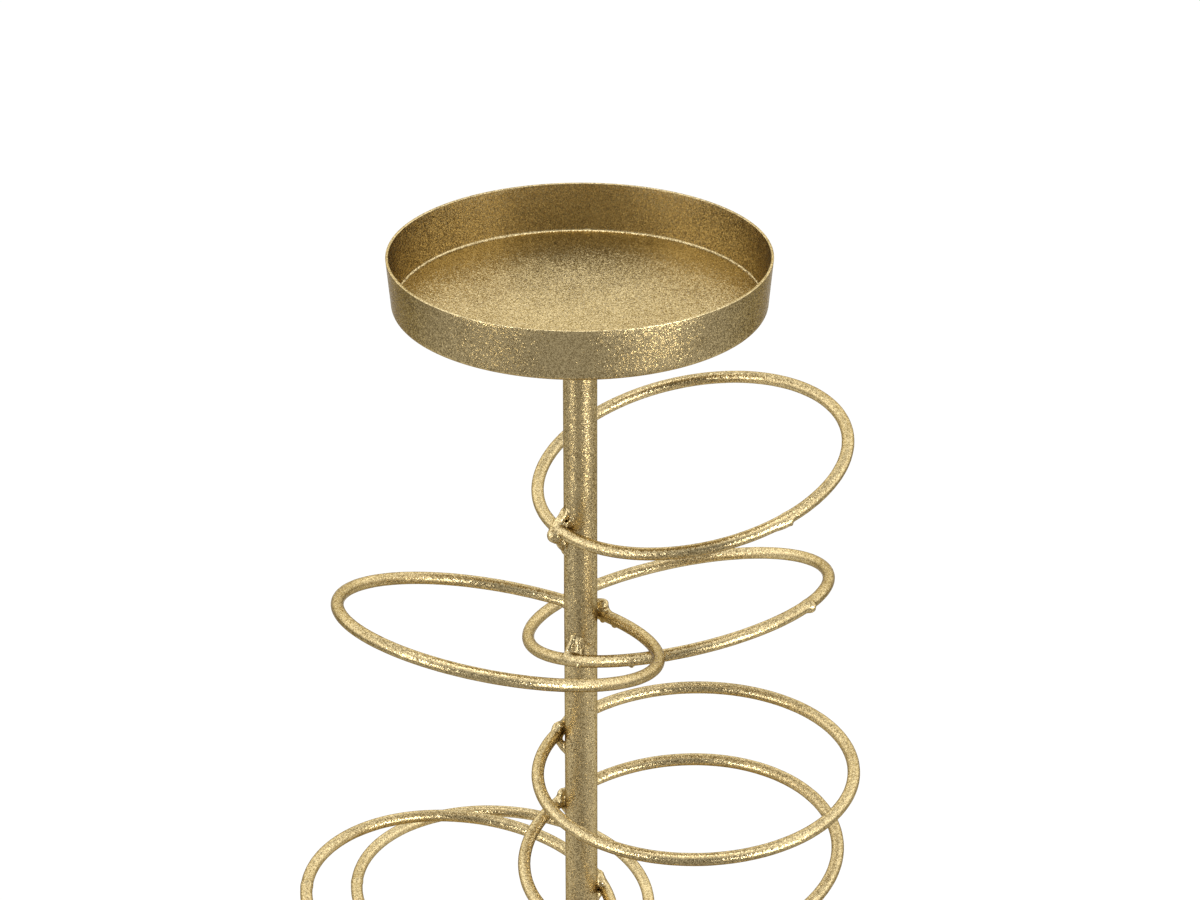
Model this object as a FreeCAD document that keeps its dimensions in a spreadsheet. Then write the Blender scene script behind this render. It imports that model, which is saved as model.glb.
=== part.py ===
import FreeCAD, Part
import Sketcher
import os

# A candle holder of welded steel: a pressed tray on a tube stem, closed wire
# rings tacked to the stem one below another, and a round base plate on felt.
# Millimetres and degrees. +Z is up, and the origin is the middle of the
# underside, on the stem's axis. Azimuths turn from +X towards +Y.

SIZES = {
    # Tray, pressed from sheet
    "tray_rim_diameter": 110.0,
    "tray_floor_diameter": 107.2,
    "tray_height": 15.5,
    "tray_sheet": 0.8,
    "tray_corner_radius": 1.6,
    # Stem, a round tube
    "stem_length": 279.0,
    "stem_diameter": 10.0,
    "stem_wall": 1.0,
    # Rings of wire, each closed by a butt weld that stands a little proud
    "wire_diameter": 3.8,
    "ring_diameter": 94.0,
    "butt_weld_length": 4.6,
    "butt_weld_rise": 0.35,
    # Tack welds that hold the rings to the stem, across a small root gap
    "tack_root_gap": 0.2,
    "tack_width": 10.4,
    "tack_height": 9.6,
    "tack_reach": 3.6,
    "tack_sink": 1.0,
    # Fillet welds round both ends of the stem
    "fillet_weld_leg": 2.6,
    # Base plate and the felt under it
    "base_diameter": 130.0,
    "base_thickness": 4.0,
    "base_edge_radius": 1.5,
    "felt_margin": 2.5,
    "felt_thickness": 1.5,
    # Steps along the stem, each from where one ring touches it to the next. The one
    # from ring 2 to ring 3 has no such size: ring 3 nests under ring 2, and the
    # least gap between their two wires sets how close.
    "ring_1_to_ring_2": 32.2,
    "nesting_gap": 0.4,
    "ring_3_to_ring_4": 29.3,
    "ring_4_to_ring_5": 25.0,
    "ring_5_to_ring_6": 30.3,
    "ring_6_to_ring_7": 24.5,
    "ring_7_to_ring_8": 24.5,
    "ring_8_to_base": 32.0,
    # Azimuth at which each ring touches the stem
    "ring_1_azimuth_deg": 211.0,
    "ring_2_azimuth_deg": 51.5,
    "ring_3_azimuth_deg": 221.5,
    "ring_4_azimuth_deg": 149.0,
    "ring_5_azimuth_deg": 138.5,
    "ring_6_azimuth_deg": 20.0,
    "ring_7_azimuth_deg": 310.0,
    "ring_8_azimuth_deg": 190.0,
    # Slope of the wire where it touches the stem
    "ring_1_slope_deg": 0.5,
    "ring_2_slope_deg": 0.5,
    "ring_3_slope_deg": 16.5,
    "ring_4_slope_deg": -2.0,
    "ring_5_slope_deg": -6.5,
    "ring_6_slope_deg": 3.0,
    "ring_7_slope_deg": -3.0,
    "ring_8_slope_deg": 2.0,
    # Tilt that lifts the far side of each ring
    "ring_1_tilt_deg": 13.0,
    "ring_2_tilt_deg": 16.5,
    "ring_3_tilt_deg": 1.5,
    "ring_4_tilt_deg": 0.5,
    "ring_5_tilt_deg": 0.5,
    "ring_6_tilt_deg": 6.0,
    "ring_7_tilt_deg": 4.0,
    "ring_8_tilt_deg": 3.0,
    # Place of the butt weld round each ring, from where it touches the stem
    "ring_1_seam_deg": 93.0,
    "ring_2_seam_deg": 12.0,
    "ring_3_seam_deg": 105.0,
    "ring_4_seam_deg": 75.0,
    "ring_5_seam_deg": 120.0,
    "ring_6_seam_deg": 160.0,
    "ring_7_seam_deg": 230.0,
    "ring_8_seam_deg": 265.0,
}

# Steps down the stem, from ring 1 to the base plate
NESTING_STEP = "ring_2_to_ring_3"
STEPS = [
    "ring_1_to_ring_2",
    NESTING_STEP,
    "ring_3_to_ring_4",
    "ring_4_to_ring_5",
    "ring_5_to_ring_6",
    "ring_6_to_ring_7",
    "ring_7_to_ring_8",
    "ring_8_to_base",
]
RING_NUMBERS = range(1, len(STEPS) + 1)
UPPER_NESTING_RING = 2
LOWER_NESTING_RING = 3

# How finely the nesting step is searched, and how level a level edge is
NESTING_RUNGS = 24
NESTING_HALVINGS = 20
LEVEL_TOLERANCE = 0.001


def size(name):
    """Names a cell of the sheet, as an expression."""
    return "Sizes." + name


def total(names):
    """Adds up cells of the sheet, as an expression."""
    return "(" + " + ".join(size(name) for name in names) + ")"


def turn(axis, angle):
    """A rotation about one axis, as an expression."""
    return "rotation(vector(%s); %s)" % (axis, angle)


# Lengths and turns that several pieces share, as expressions
TRAY_RIM_RADIUS = size("tray_rim_diameter") + " / 2"
TRAY_FLOOR_RADIUS = size("tray_floor_diameter") + " / 2"
STEM_RADIUS = size("stem_diameter") + " / 2"
STEM_BORE_RADIUS = STEM_RADIUS + " - " + size("stem_wall")
STEM_LENGTH = size("stem_length")
WELD_TOE_RADIUS = STEM_RADIUS + " + " + size("fillet_weld_leg")
WIRE_RADIUS = size("wire_diameter") + " / 2"
WIRE_OFFSET = STEM_RADIUS + " + " + size("tack_root_gap") + " + " + WIRE_RADIUS
RING_RADIUS = size("ring_diameter") + " / 2"
BUTT_WELD_RADIUS = WIRE_RADIUS + " + " + size("butt_weld_rise")
BASE_RADIUS = size("base_diameter") + " / 2"
BASE_TOP = total(["felt_thickness", "base_thickness"])
TRAY_UNDERSIDE = BASE_TOP + " + " + STEM_LENGTH
UPRIGHT = turn("1; 0; 0", 0)
OVERTURNED = turn("1; 0; 0", 180)
ABOUT_FACE = turn("0; 0; 1", 180)


def ring_height(number):
    """Height at which a ring touches the stem: the base, and each step below the ring."""
    return BASE_TOP + " + " + total(STEPS[number - 1 :])


def ring_azimuth(number):
    """Turns +X to where a ring touches the stem."""
    return turn("0; 0; 1", size("ring_%d_azimuth_deg" % number))


def ring_slope(number):
    """Turns +X to where a ring touches the stem, and +Y along its wire there."""
    return ring_azimuth(number) + " * " + turn("1; 0; 0", size("ring_%d_slope_deg" % number))


def ring_lie(number):
    """Turns a flat ring, touching the stem at +X, to how it lies on the stem."""
    return ring_slope(number) + " * " + turn("0; 1; 0", size("ring_%d_tilt_deg" % number))


def beside_stem(number, distance):
    """The place at a distance from the stem's axis where a ring touches the stem."""
    outward = "%s * vector(%s; 0; 0)" % (ring_azimuth(number), distance)
    return outward + " + vector(0; 0; %s)" % ring_height(number)


def stand_at(item, height, facing=UPRIGHT):
    """Puts an object on the stem's axis at a height."""
    item.setExpression("Placement", "placement(vector(0; 0; %s); %s)" % (height, facing))


def new_sheet(document):
    """The sheet of sizes. The step between the nesting rings waits for its value."""
    sheet = document.addObject("Spreadsheet::Sheet", "Sizes")
    for row, name in enumerate(list(SIZES) + [NESTING_STEP], start=1):
        sheet.set("A%d" % row, name)
        sheet.set("B%d" % row, str(SIZES.get(name, 0)))
        sheet.setAlias("B%d" % row, name)
    document.recompute()
    return sheet


def new_sketch(body, role, name):
    """An empty sketch on one of the body's own origin planes."""
    sketch = body.newObject("Sketcher::SketchObject", name)
    plane = next(item for item in body.Origin.OriginFeatures if item.Role == role)
    sketch.AttachmentSupport = [(plane, "")]
    sketch.MapMode = "FlatFace"
    return sketch


def hold_corner(sketch, line, kind, axis, distance):
    """Holds the start of a line at a distance from the origin, or on an axis."""
    if distance == 0:
        sketch.addConstraint(Sketcher.Constraint("PointOnObject", line, 1, axis))
        return
    length = sketch.evalExpression(distance)
    held = sketch.addConstraint(Sketcher.Constraint(kind, -1, 1, line, 1, length))
    sketch.setExpression("Constraints[%d]" % held, distance)


def draw_outline(sketch, corners):
    """
    Draws a closed outline of straight lines. Each corner is its distances across
    and up from the origin, as expressions, or 0 where it lies on the axis.
    """
    spots = [[sketch.evalExpression(str(distance)) for distance in corner] for corner in corners]
    points = [FreeCAD.Vector(across, up, 0) for across, up in spots]
    following = points[1:] + points[:1]
    for start, end in zip(points, following):
        sketch.addGeometry(Part.LineSegment(start, end), False)
    for line, (across, up) in enumerate(corners):
        previous = (line - 1) % len(corners)
        sketch.addConstraint(Sketcher.Constraint("Coincident", previous, 2, line, 1))
        hold_corner(sketch, line, "DistanceX", -2, across)
        hold_corner(sketch, line, "DistanceY", -1, up)


def draw_circle(sketch, radius):
    """Draws a circle round the origin. Its radius is an expression."""
    length = sketch.evalExpression(radius)
    line = sketch.addGeometry(Part.Circle(FreeCAD.Vector(), FreeCAD.Vector(0, 0, 1), length), False)
    sketch.addConstraint(Sketcher.Constraint("Coincident", line, 3, -1, 1))
    held = sketch.addConstraint(Sketcher.Constraint("Radius", line, length))
    sketch.setExpression("Constraints[%d]" % held, radius)


def level_parts(shape, kind, height):
    """Names of a shape's edges or faces that lie level at a height."""
    names = []
    for index, part in enumerate(getattr(shape, kind + "s"), start=1):
        box = part.BoundBox
        if max(abs(box.ZMin - height), abs(box.ZMax - height)) < LEVEL_TOLERANCE:
            names.append("%s%d" % (kind, index))
    return names


def new_turned_body(document, name, corners):
    """A body turned once round the upright axis from an outline beside it."""
    body = document.addObject("PartDesign::Body", name)
    outline = new_sketch(body, "XZ_Plane", name + "_outline")
    draw_outline(outline, corners)
    blank = body.newObject("PartDesign::Revolution", name + "_blank")
    blank.Profile = outline
    blank.ReferenceAxis = (outline, ["V_Axis"])
    blank.Angle = 360
    document.recompute()
    return body


def new_raised_body(document, name, radii, height):
    """A body raised from circles drawn on the ground plane."""
    body = document.addObject("PartDesign::Body", name)
    outline = new_sketch(body, "XY_Plane", name + "_outline")
    for radius in radii:
        draw_circle(outline, radius)
    blank = body.newObject("PartDesign::Pad", name + "_blank")
    blank.Profile = outline
    blank.setExpression("Length", height)
    document.recompute()
    return body


def round_edge(document, body, height, radius):
    """Rounds a body's edges that lie level at a height."""
    blank = body.Tip
    rounded = body.newObject("PartDesign::Fillet", body.Name + "_rounding")
    rounded.Base = (blank, level_parts(blank.Shape, "Edge", height))
    rounded.setExpression("Radius", radius)
    document.recompute()


def new_candle_tray(document):
    """A round dish: a drafted blank, its lower corner rounded, hollowed to sheet."""
    rim = size("tray_height")
    outline = [(0, 0), (TRAY_FLOOR_RADIUS, 0), (TRAY_RIM_RADIUS, rim), (0, rim)]
    tray = new_turned_body(document, "candle_tray", outline)
    round_edge(document, tray, 0, size("tray_corner_radius"))
    blank = tray.Tip
    hollow = tray.newObject("PartDesign::Thickness", "candle_tray_hollow")
    hollow.Base = (blank, level_parts(blank.Shape, "Face", SIZES["tray_height"]))
    hollow.setExpression("Value", size("tray_sheet"))
    hollow.Reversed = True
    stand_at(tray, TRAY_UNDERSIDE)
    return tray


def new_stem(document):
    """A round tube from the base plate up to the tray."""
    stem = new_raised_body(document, "stem", [STEM_RADIUS, STEM_BORE_RADIUS], STEM_LENGTH)
    stand_at(stem, BASE_TOP)
    return stem


def new_fillet_weld(document, name, height, facing):
    """A bead round the stem, in the corner that it makes with a flat piece."""
    outline = [(STEM_RADIUS, 0), (WELD_TOE_RADIUS, 0), (STEM_RADIUS, size("fillet_weld_leg"))]
    weld = new_turned_body(document, name, outline)
    stand_at(weld, height, facing)
    return weld


def new_base_plate(document):
    """A round plate with its upper edge rounded over."""
    plate = new_raised_body(document, "base_plate", [BASE_RADIUS], size("base_thickness"))
    round_edge(document, plate, SIZES["base_thickness"], size("base_edge_radius"))
    stand_at(plate, size("felt_thickness"))
    return plate


def new_base_felt(document):
    """A felt disc glued under the base plate, a margin inside its edge."""
    felt = document.addObject("Part::Cylinder", "base_felt")
    felt.setExpression("Radius", BASE_RADIUS + " - " + size("felt_margin"))
    felt.setExpression("Height", size("felt_thickness"))
    return felt


def new_ellipsoid(document, name, across, along, upright, placement):
    """An ellipsoid with its half lengths along its own X, Y and Z."""
    solid = document.addObject("Part::Ellipsoid", name)
    solid.setExpression("Radius2", across)
    solid.setExpression("Radius3", along)
    solid.setExpression("Radius1", upright)
    solid.setExpression("Placement", placement)
    return solid


def new_wire(document, number):
    """
    A ring's wire, bent to a circle that passes the stem at the root gap. Its
    surface begins and ends on the far side, clear of the weld.
    """
    wire = document.addObject("Part::Torus", "ring_%d_wire" % number)
    wire.setExpression("Radius1", RING_RADIUS)
    wire.setExpression("Radius2", WIRE_RADIUS)
    lie = ring_lie(number)
    middle = "%s - %s * vector(%s; 0; 0)" % (beside_stem(number, WIRE_OFFSET), lie, RING_RADIUS)
    wire.setExpression("Placement", "placement(%s; %s * %s)" % (middle, lie, ABOUT_FACE))
    return wire


def new_ring(document, number, wire):
    """A ring: its wire, and the butt weld that closes it."""
    round_ring = ABOUT_FACE + " * " + turn("0; 0; 1", size("ring_%d_seam_deg" % number))
    on_wire = "placement(%s * vector(%s; 0; 0); %s)" % (round_ring, RING_RADIUS, round_ring)
    along = size("butt_weld_length") + " / 2"
    placement = wire.Name + ".Placement * " + on_wire
    seam = new_ellipsoid(
        document, "ring_%d_seam" % number, BUTT_WELD_RADIUS, along, BUTT_WELD_RADIUS, placement
    )
    ring = document.addObject("Part::Fuse", "ring_%d" % number)
    ring.Base = wire
    ring.Tool = seam
    return ring


def new_tack_weld(document, number, wire, core):
    """
    A bead between the stem and a ring's wire, cut back by both. Its middle lies
    inside the stem, and so do its poles and the line where its surface begins.
    """
    middle = beside_stem(number, STEM_RADIUS + " - " + size("tack_sink"))
    placement = "placement(%s; %s * %s)" % (middle, ring_slope(number), ABOUT_FACE)
    across = total(["tack_reach", "tack_sink"])
    along = size("tack_width") + " / 2"
    upright = size("tack_height") + " / 2"
    drop = new_ellipsoid(document, "ring_%d_drop" % number, across, along, upright, placement)
    bead = document.addObject("Part::Cut", "ring_%d_bead" % number)
    bead.Base = drop
    bead.Tool = core
    weld = document.addObject("Part::Cut", "ring_%d_weld" % number)
    weld.Base = bead
    weld.Tool = wire
    return weld


def new_stem_core(document):
    """The stem's outline as a solid rod, which cuts the tack welds back."""
    core = document.addObject("Part::Cylinder", "stem_core")
    core.setExpression("Radius", STEM_RADIUS)
    core.setExpression("Height", STEM_LENGTH)
    stand_at(core, BASE_TOP)
    return core


def centreline(wire):
    """The circle along the middle of a ring's wire."""
    upright = wire.Placement.Rotation.multVec(FreeCAD.Vector(0, 0, 1))
    return Part.makeCircle(wire.Radius1.Value, wire.Placement.Base, upright)


def nesting_step(upper, lower, spacing):
    """
    How far the lower ring goes down the stem, from level with the upper one, until
    the middles of their wires are the spacing apart.
    """
    over = centreline(upper)
    under = centreline(lower)

    def too_near(step):
        """Whether the two wires are closer than the spacing after a step down."""
        return over.distToShape(under.translated(FreeCAD.Vector(0, 0, -step)))[0] < spacing

    rungs = [rung * spacing / 2 for rung in range(NESTING_RUNGS)]
    near = max([step for step in rungs if too_near(step)], default=0)
    clear = near + spacing / 2
    for _ in range(NESTING_HALVINGS):
        middle = (near + clear) / 2
        if too_near(middle):
            near = middle
        else:
            clear = middle
    return clear


def nest_rings(document, sheet, wires):
    """Fills in the step between the nesting rings, which start level."""
    spacing = SIZES["wire_diameter"] + SIZES["nesting_gap"]
    step = nesting_step(wires[UPPER_NESTING_RING], wires[LOWER_NESTING_RING], spacing)
    sheet.set(sheet.getCellFromAlias(NESTING_STEP), str(step))
    document.recompute()


def check(document, nodes):
    """Stops at an object that failed, or at a node that isn't one sound solid."""
    for item in document.Objects:
        if "Invalid" in item.State or "Error" in item.State:
            raise RuntimeError("%s failed: %s" % (item.Label, item.State))
    for node in nodes:
        shape = node.Shape
        if shape.isNull() or not shape.isValid() or len(shape.Solids) != 1:
            raise RuntimeError("%s isn't one sound solid" % node.Label)


def main():
    """Builds the candle holder and writes one file for each piece."""
    document = FreeCAD.newDocument("SpiralCandleHolder")
    sheet = new_sheet(document)
    wires = {number: new_wire(document, number) for number in RING_NUMBERS}
    document.recompute()
    nest_rings(document, sheet, wires)

    nodes = [
        new_candle_tray(document),
        new_fillet_weld(document, "tray_weld", TRAY_UNDERSIDE, OVERTURNED),
        new_stem(document),
        new_fillet_weld(document, "base_weld", BASE_TOP, UPRIGHT),
        new_base_plate(document),
        new_base_felt(document),
    ]
    core = new_stem_core(document)
    for number, wire in wires.items():
        nodes.append(new_ring(document, number, wire))
        nodes.append(new_tack_weld(document, number, wire, core))
    document.recompute()
    check(document, nodes)

    os.makedirs("parts", exist_ok=True)
    for node in nodes:
        node.Shape.exportStep(os.path.join("parts", node.Label + ".step"))
        box = node.Shape.BoundBox
        print("%-12s volume %8.1f, z %6.2f to %6.2f" % (node.Label, node.Shape.Volume, box.ZMin, box.ZMax))


main()
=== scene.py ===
"""
Looks of the spiral candle holder: welded steel under champagne gold flake lacquer.

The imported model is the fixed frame. Each of its pieces is rebuilt here as a fine mesh
in the same place, with what a drawing leaves out: rolled and rounded edges, uneven
weld metal, butt weld lumps on the wire, spatter, and a sprayed coat full of flakes.
Lengths are millimetres until a mesh is made, and then metres.
"""

import logging
import math
from collections.abc import Callable, Sequence
from dataclasses import dataclass
from enum import Enum

import bmesh
import bpy
import numpy as np
from mathutils import Matrix, Vector


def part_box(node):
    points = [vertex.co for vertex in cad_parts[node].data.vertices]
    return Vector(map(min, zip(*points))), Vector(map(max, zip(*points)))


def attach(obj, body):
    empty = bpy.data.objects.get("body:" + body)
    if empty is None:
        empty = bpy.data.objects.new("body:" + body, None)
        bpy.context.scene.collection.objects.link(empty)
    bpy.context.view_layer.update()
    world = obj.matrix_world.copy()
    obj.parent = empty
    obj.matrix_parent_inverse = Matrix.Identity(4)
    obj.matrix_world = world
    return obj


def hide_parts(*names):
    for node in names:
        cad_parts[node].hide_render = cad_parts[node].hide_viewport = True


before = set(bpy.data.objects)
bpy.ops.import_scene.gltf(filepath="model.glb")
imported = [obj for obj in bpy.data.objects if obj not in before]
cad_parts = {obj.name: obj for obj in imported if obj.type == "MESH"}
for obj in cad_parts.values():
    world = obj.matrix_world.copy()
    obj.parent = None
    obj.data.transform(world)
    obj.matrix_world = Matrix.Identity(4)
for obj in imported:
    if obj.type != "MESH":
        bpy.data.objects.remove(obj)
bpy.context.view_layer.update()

MM = 0.001
ROOT_BODY = "root"
LOG = logging.getLogger("candle_holder")

Array = np.ndarray
Values = Array | float
Field = Callable[[Array], Array]
Mesh = tuple[Array, list[tuple[int, ...]]]
Material = bpy.types.Material
Socket = bpy.types.NodeSocket
Tree = bpy.types.NodeTree
Place = tuple[float, float, float]


class Slot(Enum):
    """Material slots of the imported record."""

    LACQUER = "gold_paint"
    FELT = "felt"


class Facing(Enum):
    """Which way a fillet weld's flat foot faces along the stem."""

    DOWN = "down"
    UP = "up"


# Colour and nodes


def linear(code: str) -> tuple[float, float, float, float]:
    """
    Turns an sRGB colour to the linear one that shaders take.

    Args:
        code: The colour as a hex code, such as "#AA976C".

    Returns:
        Linear red, green and blue, and a full alpha.
    """
    parts = [int(code[start : start + 2], 16) / 255 for start in (1, 3, 5)]
    values = [part / 12.92 if part <= 0.04045 else ((part + 0.055) / 1.055) ** 2.4 for part in parts]
    return (values[0], values[1], values[2], 1.0)


def add_node(
    tree: Tree,
    kind: str,
    settings: dict[str | int, object] | None = None,
    links: dict[str | int, Socket] | None = None,
) -> bpy.types.Node:
    """
    Adds a node with its settings and links.

    Args:
        tree: The node tree that takes it.
        kind: The node's type, less the word ShaderNode before it.
        settings: Values by the name or number of an input, or by the name of a property.
        links: Output sockets by the name or number of the input that each one feeds.

    Returns:
        The new node.
    """
    node = tree.nodes.new("ShaderNode" + kind)
    for key, value in (settings or {}).items():
        if isinstance(key, int) or key in node.inputs:
            node.inputs[key].default_value = value
        else:
            setattr(node, key, value)
    for key, socket in (links or {}).items():
        tree.links.new(socket, node.inputs[key])
    return node


def new_material(name: str) -> tuple[Material, Tree]:
    """
    Makes a material with an empty node tree.

    Args:
        name: What the finish is.

    Returns:
        The material and its tree.
    """
    material = bpy.data.materials.new(name)
    material.use_nodes = True
    material.node_tree.nodes.clear()
    return material, material.node_tree


# Finishes


@dataclass(frozen=True)
class FlakeLacquer:
    """
    Champagne gold flake lacquer: aluminium and mica flakes in a tinted clear coat,
    sprayed on bare steel and baked. The flakes lie at small random angles, so next to
    a highlight some of them flash and others go dark, and pale flakes lie beside deep
    ones. At a glancing angle they shade each other, so edges turn darker and browner.
    """

    name: str = "champagne_gold_flake_lacquer"
    tint: str = "#F2DDAA"
    deep_tint: str = "#857147"
    edge_tint: str = "#8E7E5C"
    # Real flakes are 0.05 to 0.1 mm, too fine to show in the render, so they are
    # drawn as the grains of 0.2 to 0.5 mm that they clump into in the photograph.
    grain_mm: float = 0.26
    fine_grain_mm: float = 0.17
    grain_tilt: float = 0.15
    fine_tilt: float = 0.1
    # Orange peel of a sprayed coat, and the slow drift of its thickness
    peel_mm: float = 1.3
    peel_height_mm: float = 0.012
    drift_mm: float = 22.0
    drift_share: float = 0.1
    roughness: float = 0.26
    roughness_spread: float = 0.07
    metallic: float = 1.0
    coat_weight: float = 0.22
    coat_roughness: float = 0.25

    def material(self) -> Material:
        """
        Builds the lacquer's material.

        Returns:
            The material.
        """
        material, tree = new_material(self.name)
        place = add_node(tree, "TexCoord").outputs["Object"]
        # Every grain has three random shares of its own, as a colour
        grain, fine_grain = (
            add_node(tree, "TexVoronoi", {"Scale": 1 / (size * MM)}, {"Vector": place}).outputs["Color"]
            for size in (self.grain_mm, self.fine_grain_mm)
        )
        fine_shares = add_node(tree, "SeparateColor", links={"Color": fine_grain})
        least, most = self.roughness - self.roughness_spread, self.roughness + self.roughness_spread
        gloss = add_node(
            tree, "MapRange", {"To Min": least, "To Max": most}, {"Value": fine_shares.outputs["Green"]}
        )
        waves = add_node(
            tree, "TexNoise", {"Scale": 1 / (self.peel_mm * MM), "Detail": 1.0}, {"Vector": place}
        )
        height = {"Strength": 1.0, "Distance": self.peel_height_mm * MM}
        peel = add_node(tree, "Bump", height, {"Height": waves.outputs["Fac"]}).outputs["Normal"]
        shader = add_node(
            tree,
            "BsdfPrincipled",
            {
                "Metallic": self.metallic,
                "Specular Tint": linear(self.edge_tint),
                "Coat Weight": self.coat_weight,
                "Coat Roughness": self.coat_roughness,
            },
            {
                "Base Color": self.colour(tree, place, grain),
                "Roughness": gloss.outputs["Result"],
                "Normal": self.tilted(tree, peel, (grain, fine_grain)),
                "Coat Normal": peel,
            },
        )
        add_node(tree, "OutputMaterial", links={"Surface": shader.outputs["BSDF"]})
        return material

    def colour(self, tree: Tree, place: Socket, grain: Socket) -> Socket:
        """
        The coat's colour: deeper where it is thick or where flakes are few.

        Args:
            tree: The material's tree.
            place: Place on the object, in metres.
            grain: Random shares for each grain.

        Returns:
            The colour.
        """
        drift = add_node(
            tree, "TexNoise", {"Scale": 1 / (self.drift_mm * MM), "Detail": 2.0}, {"Vector": place}
        )
        # A noise lies mostly between 0.3 and 0.7
        thick = add_node(
            tree,
            "MapRange",
            {"From Min": 0.3, "From Max": 0.7, "To Min": -self.drift_share, "To Max": self.drift_share},
            {"Value": drift.outputs["Fac"]},
        )
        few = add_node(tree, "SeparateColor", links={"Color": grain}).outputs["Blue"]
        share = add_node(tree, "Math", {"operation": "ADD"}, {0: thick.outputs["Result"], 1: few})
        tints = {"data_type": "RGBA", 6: linear(self.tint), 7: linear(self.deep_tint)}
        return add_node(tree, "Mix", tints, {0: share.outputs[0]}).outputs[2]

    def tilted(self, tree: Tree, normal: Socket, grains: tuple[Socket, Socket]) -> Socket:
        """
        The surface's direction, turned a little on each flake.

        Args:
            tree: The material's tree.
            normal: The coat's normal.
            grains: Random shares for each coarse grain, and for each fine one.

        Returns:
            The flakes' normal.
        """
        for shares, tilt in zip(grains, (self.grain_tilt, self.fine_tilt)):
            centred = add_node(
                tree, "VectorMath", {"operation": "SUBTRACT", 1: (0.5, 0.5, 0.5)}, {0: shares}
            )
            turned = add_node(
                tree,
                "VectorMath",
                {"operation": "MULTIPLY_ADD", 1: (2 * tilt, 2 * tilt, 2 * tilt)},
                {0: centred.outputs[0], 2: normal},
            )
            normal = turned.outputs[0]
        return add_node(tree, "VectorMath", {"operation": "NORMALIZE"}, {0: normal}).outputs[0]


@dataclass(frozen=True)
class PressedFelt:
    """
    Charcoal wool felt, pressed and cut to a disc. Its fibres lie every way, which
    gives a matt dark face with a soft light edge and a fine mottle.
    """

    name: str = "pressed_wool_felt"
    tint: str = "#3A3A3C"
    deep_tint: str = "#242425"
    # Wool fibres are 0.02 mm thick, too fine to show, so the mottle is that of tufts
    tuft_mm: float = 0.7
    tuft_height_mm: float = 0.12
    roughness: float = 0.95
    sheen_weight: float = 0.5
    sheen_roughness: float = 0.5

    def material(self) -> Material:
        """
        Builds the felt's material.

        Returns:
            The material.
        """
        material, tree = new_material(self.name)
        place = add_node(tree, "TexCoord").outputs["Object"]
        tufts = add_node(
            tree,
            "TexNoise",
            {"Scale": 1 / (self.tuft_mm * MM), "Detail": 6.0, "Roughness": 0.7, "Distortion": 0.6},
            {"Vector": place},
        )
        tints = {"data_type": "RGBA", 6: linear(self.deep_tint), 7: linear(self.tint)}
        blend = add_node(tree, "Mix", tints, {0: tufts.outputs["Fac"]})
        height = {"Strength": 0.8, "Distance": self.tuft_height_mm * MM}
        bump = add_node(tree, "Bump", height, {"Height": tufts.outputs["Fac"]})
        shader = add_node(
            tree,
            "BsdfPrincipled",
            {
                "Roughness": self.roughness,
                "Sheen Weight": self.sheen_weight,
                "Sheen Roughness": self.sheen_roughness,
            },
            {"Base Color": blend.outputs[2], "Normal": bump.outputs["Normal"]},
        )
        add_node(tree, "OutputMaterial", links={"Surface": shader.outputs["BSDF"]})
        return material


# Shapes


@dataclass(frozen=True)
class Ripple:
    """
    Slow unevenness of a formed or cast surface, as a sum of plane waves.

    The seed settles where the waves run, so every run gives the same surface.
    """

    seed: int
    shortest_mm: float
    longest_mm: float
    count: int = 12

    def __call__(self, points: Array) -> Array:
        """
        Reads the unevenness.

        Args:
            points: Places in millimetres, with the coordinates on the last axis.

        Returns:
            A value for each point, mostly from -1 to 1.
        """
        draw = np.random.default_rng(self.seed)
        total = np.zeros(points.shape[:-1])
        for _ in range(self.count):
            direction = draw.normal(size=3)
            direction /= np.linalg.norm(direction)
            length = draw.uniform(self.shortest_mm, self.longest_mm)
            phase = draw.uniform(0, 2 * math.pi)
            total += np.sin(points @ direction * (2 * math.pi / length) + phase)
        return total / math.sqrt(self.count)

    def dip(self, points: Array) -> Array:
        """How deep each point lies below the drawn surface, mostly from 0.25 to 0.75."""
        return (self(points) + 2) / 4


def rounded(corners: Sequence[Place], step_mm: float, arc_steps: int = 6) -> Array:
    """
    An open outline with its corners rounded and its straights divided.

    Args:
        corners: Distance from the axis, height, and rounding radius of each corner.
        step_mm: How far apart the points on the straights are.
        arc_steps: Steps round each corner.

    Returns:
        The outline's points.
    """
    places = [np.array(corner[:2], float) for corner in corners]
    trail = [places[0]]
    for before, corner, after, (_, _, radius) in zip(places, places[1:], places[2:], corners[1:]):
        if radius == 0:
            trail.append(corner)
            continue
        to_before = (before - corner) / np.linalg.norm(before - corner)
        to_after = (after - corner) / np.linalg.norm(after - corner)
        half_turn = math.acos(np.clip(to_before @ to_after, -1, 1)) / 2
        inward = (to_before + to_after) / np.linalg.norm(to_before + to_after)
        middle = corner + inward * radius / math.sin(half_turn)
        reach = radius / math.tan(half_turn)
        start, end = corner + to_before * reach, corner + to_after * reach
        for share in np.linspace(0, 1, arc_steps + 1):
            chord = (1 - share) * start + share * end - middle
            trail.append(middle + chord / np.linalg.norm(chord) * radius)
    trail.append(places[-1])
    points = [trail[0]]
    for start, end in zip(trail, trail[1:]):
        runs = max(1, round(math.dist(start, end) / step_mm))
        points += [start + (end - start) * (run / runs) for run in range(1, runs + 1)]
    return np.array(points)


def wrapped_faces(rows: int, columns: int, closed: bool) -> list[tuple[int, ...]]:
    """
    Quads of a grid of vertices whose rows are loops.

    Args:
        rows: How many rows there are.
        columns: How many vertices each row has.
        closed: Whether the last row joins the first.

    Returns:
        The faces.
    """
    faces = []
    for row in range(rows if closed else rows - 1):
        lower, upper = row * columns, (row + 1) % rows * columns
        for column in range(columns):
            beside = (column + 1) % columns
            faces.append((lower + column, lower + beside, upper + beside, upper + column))
    return faces


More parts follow.
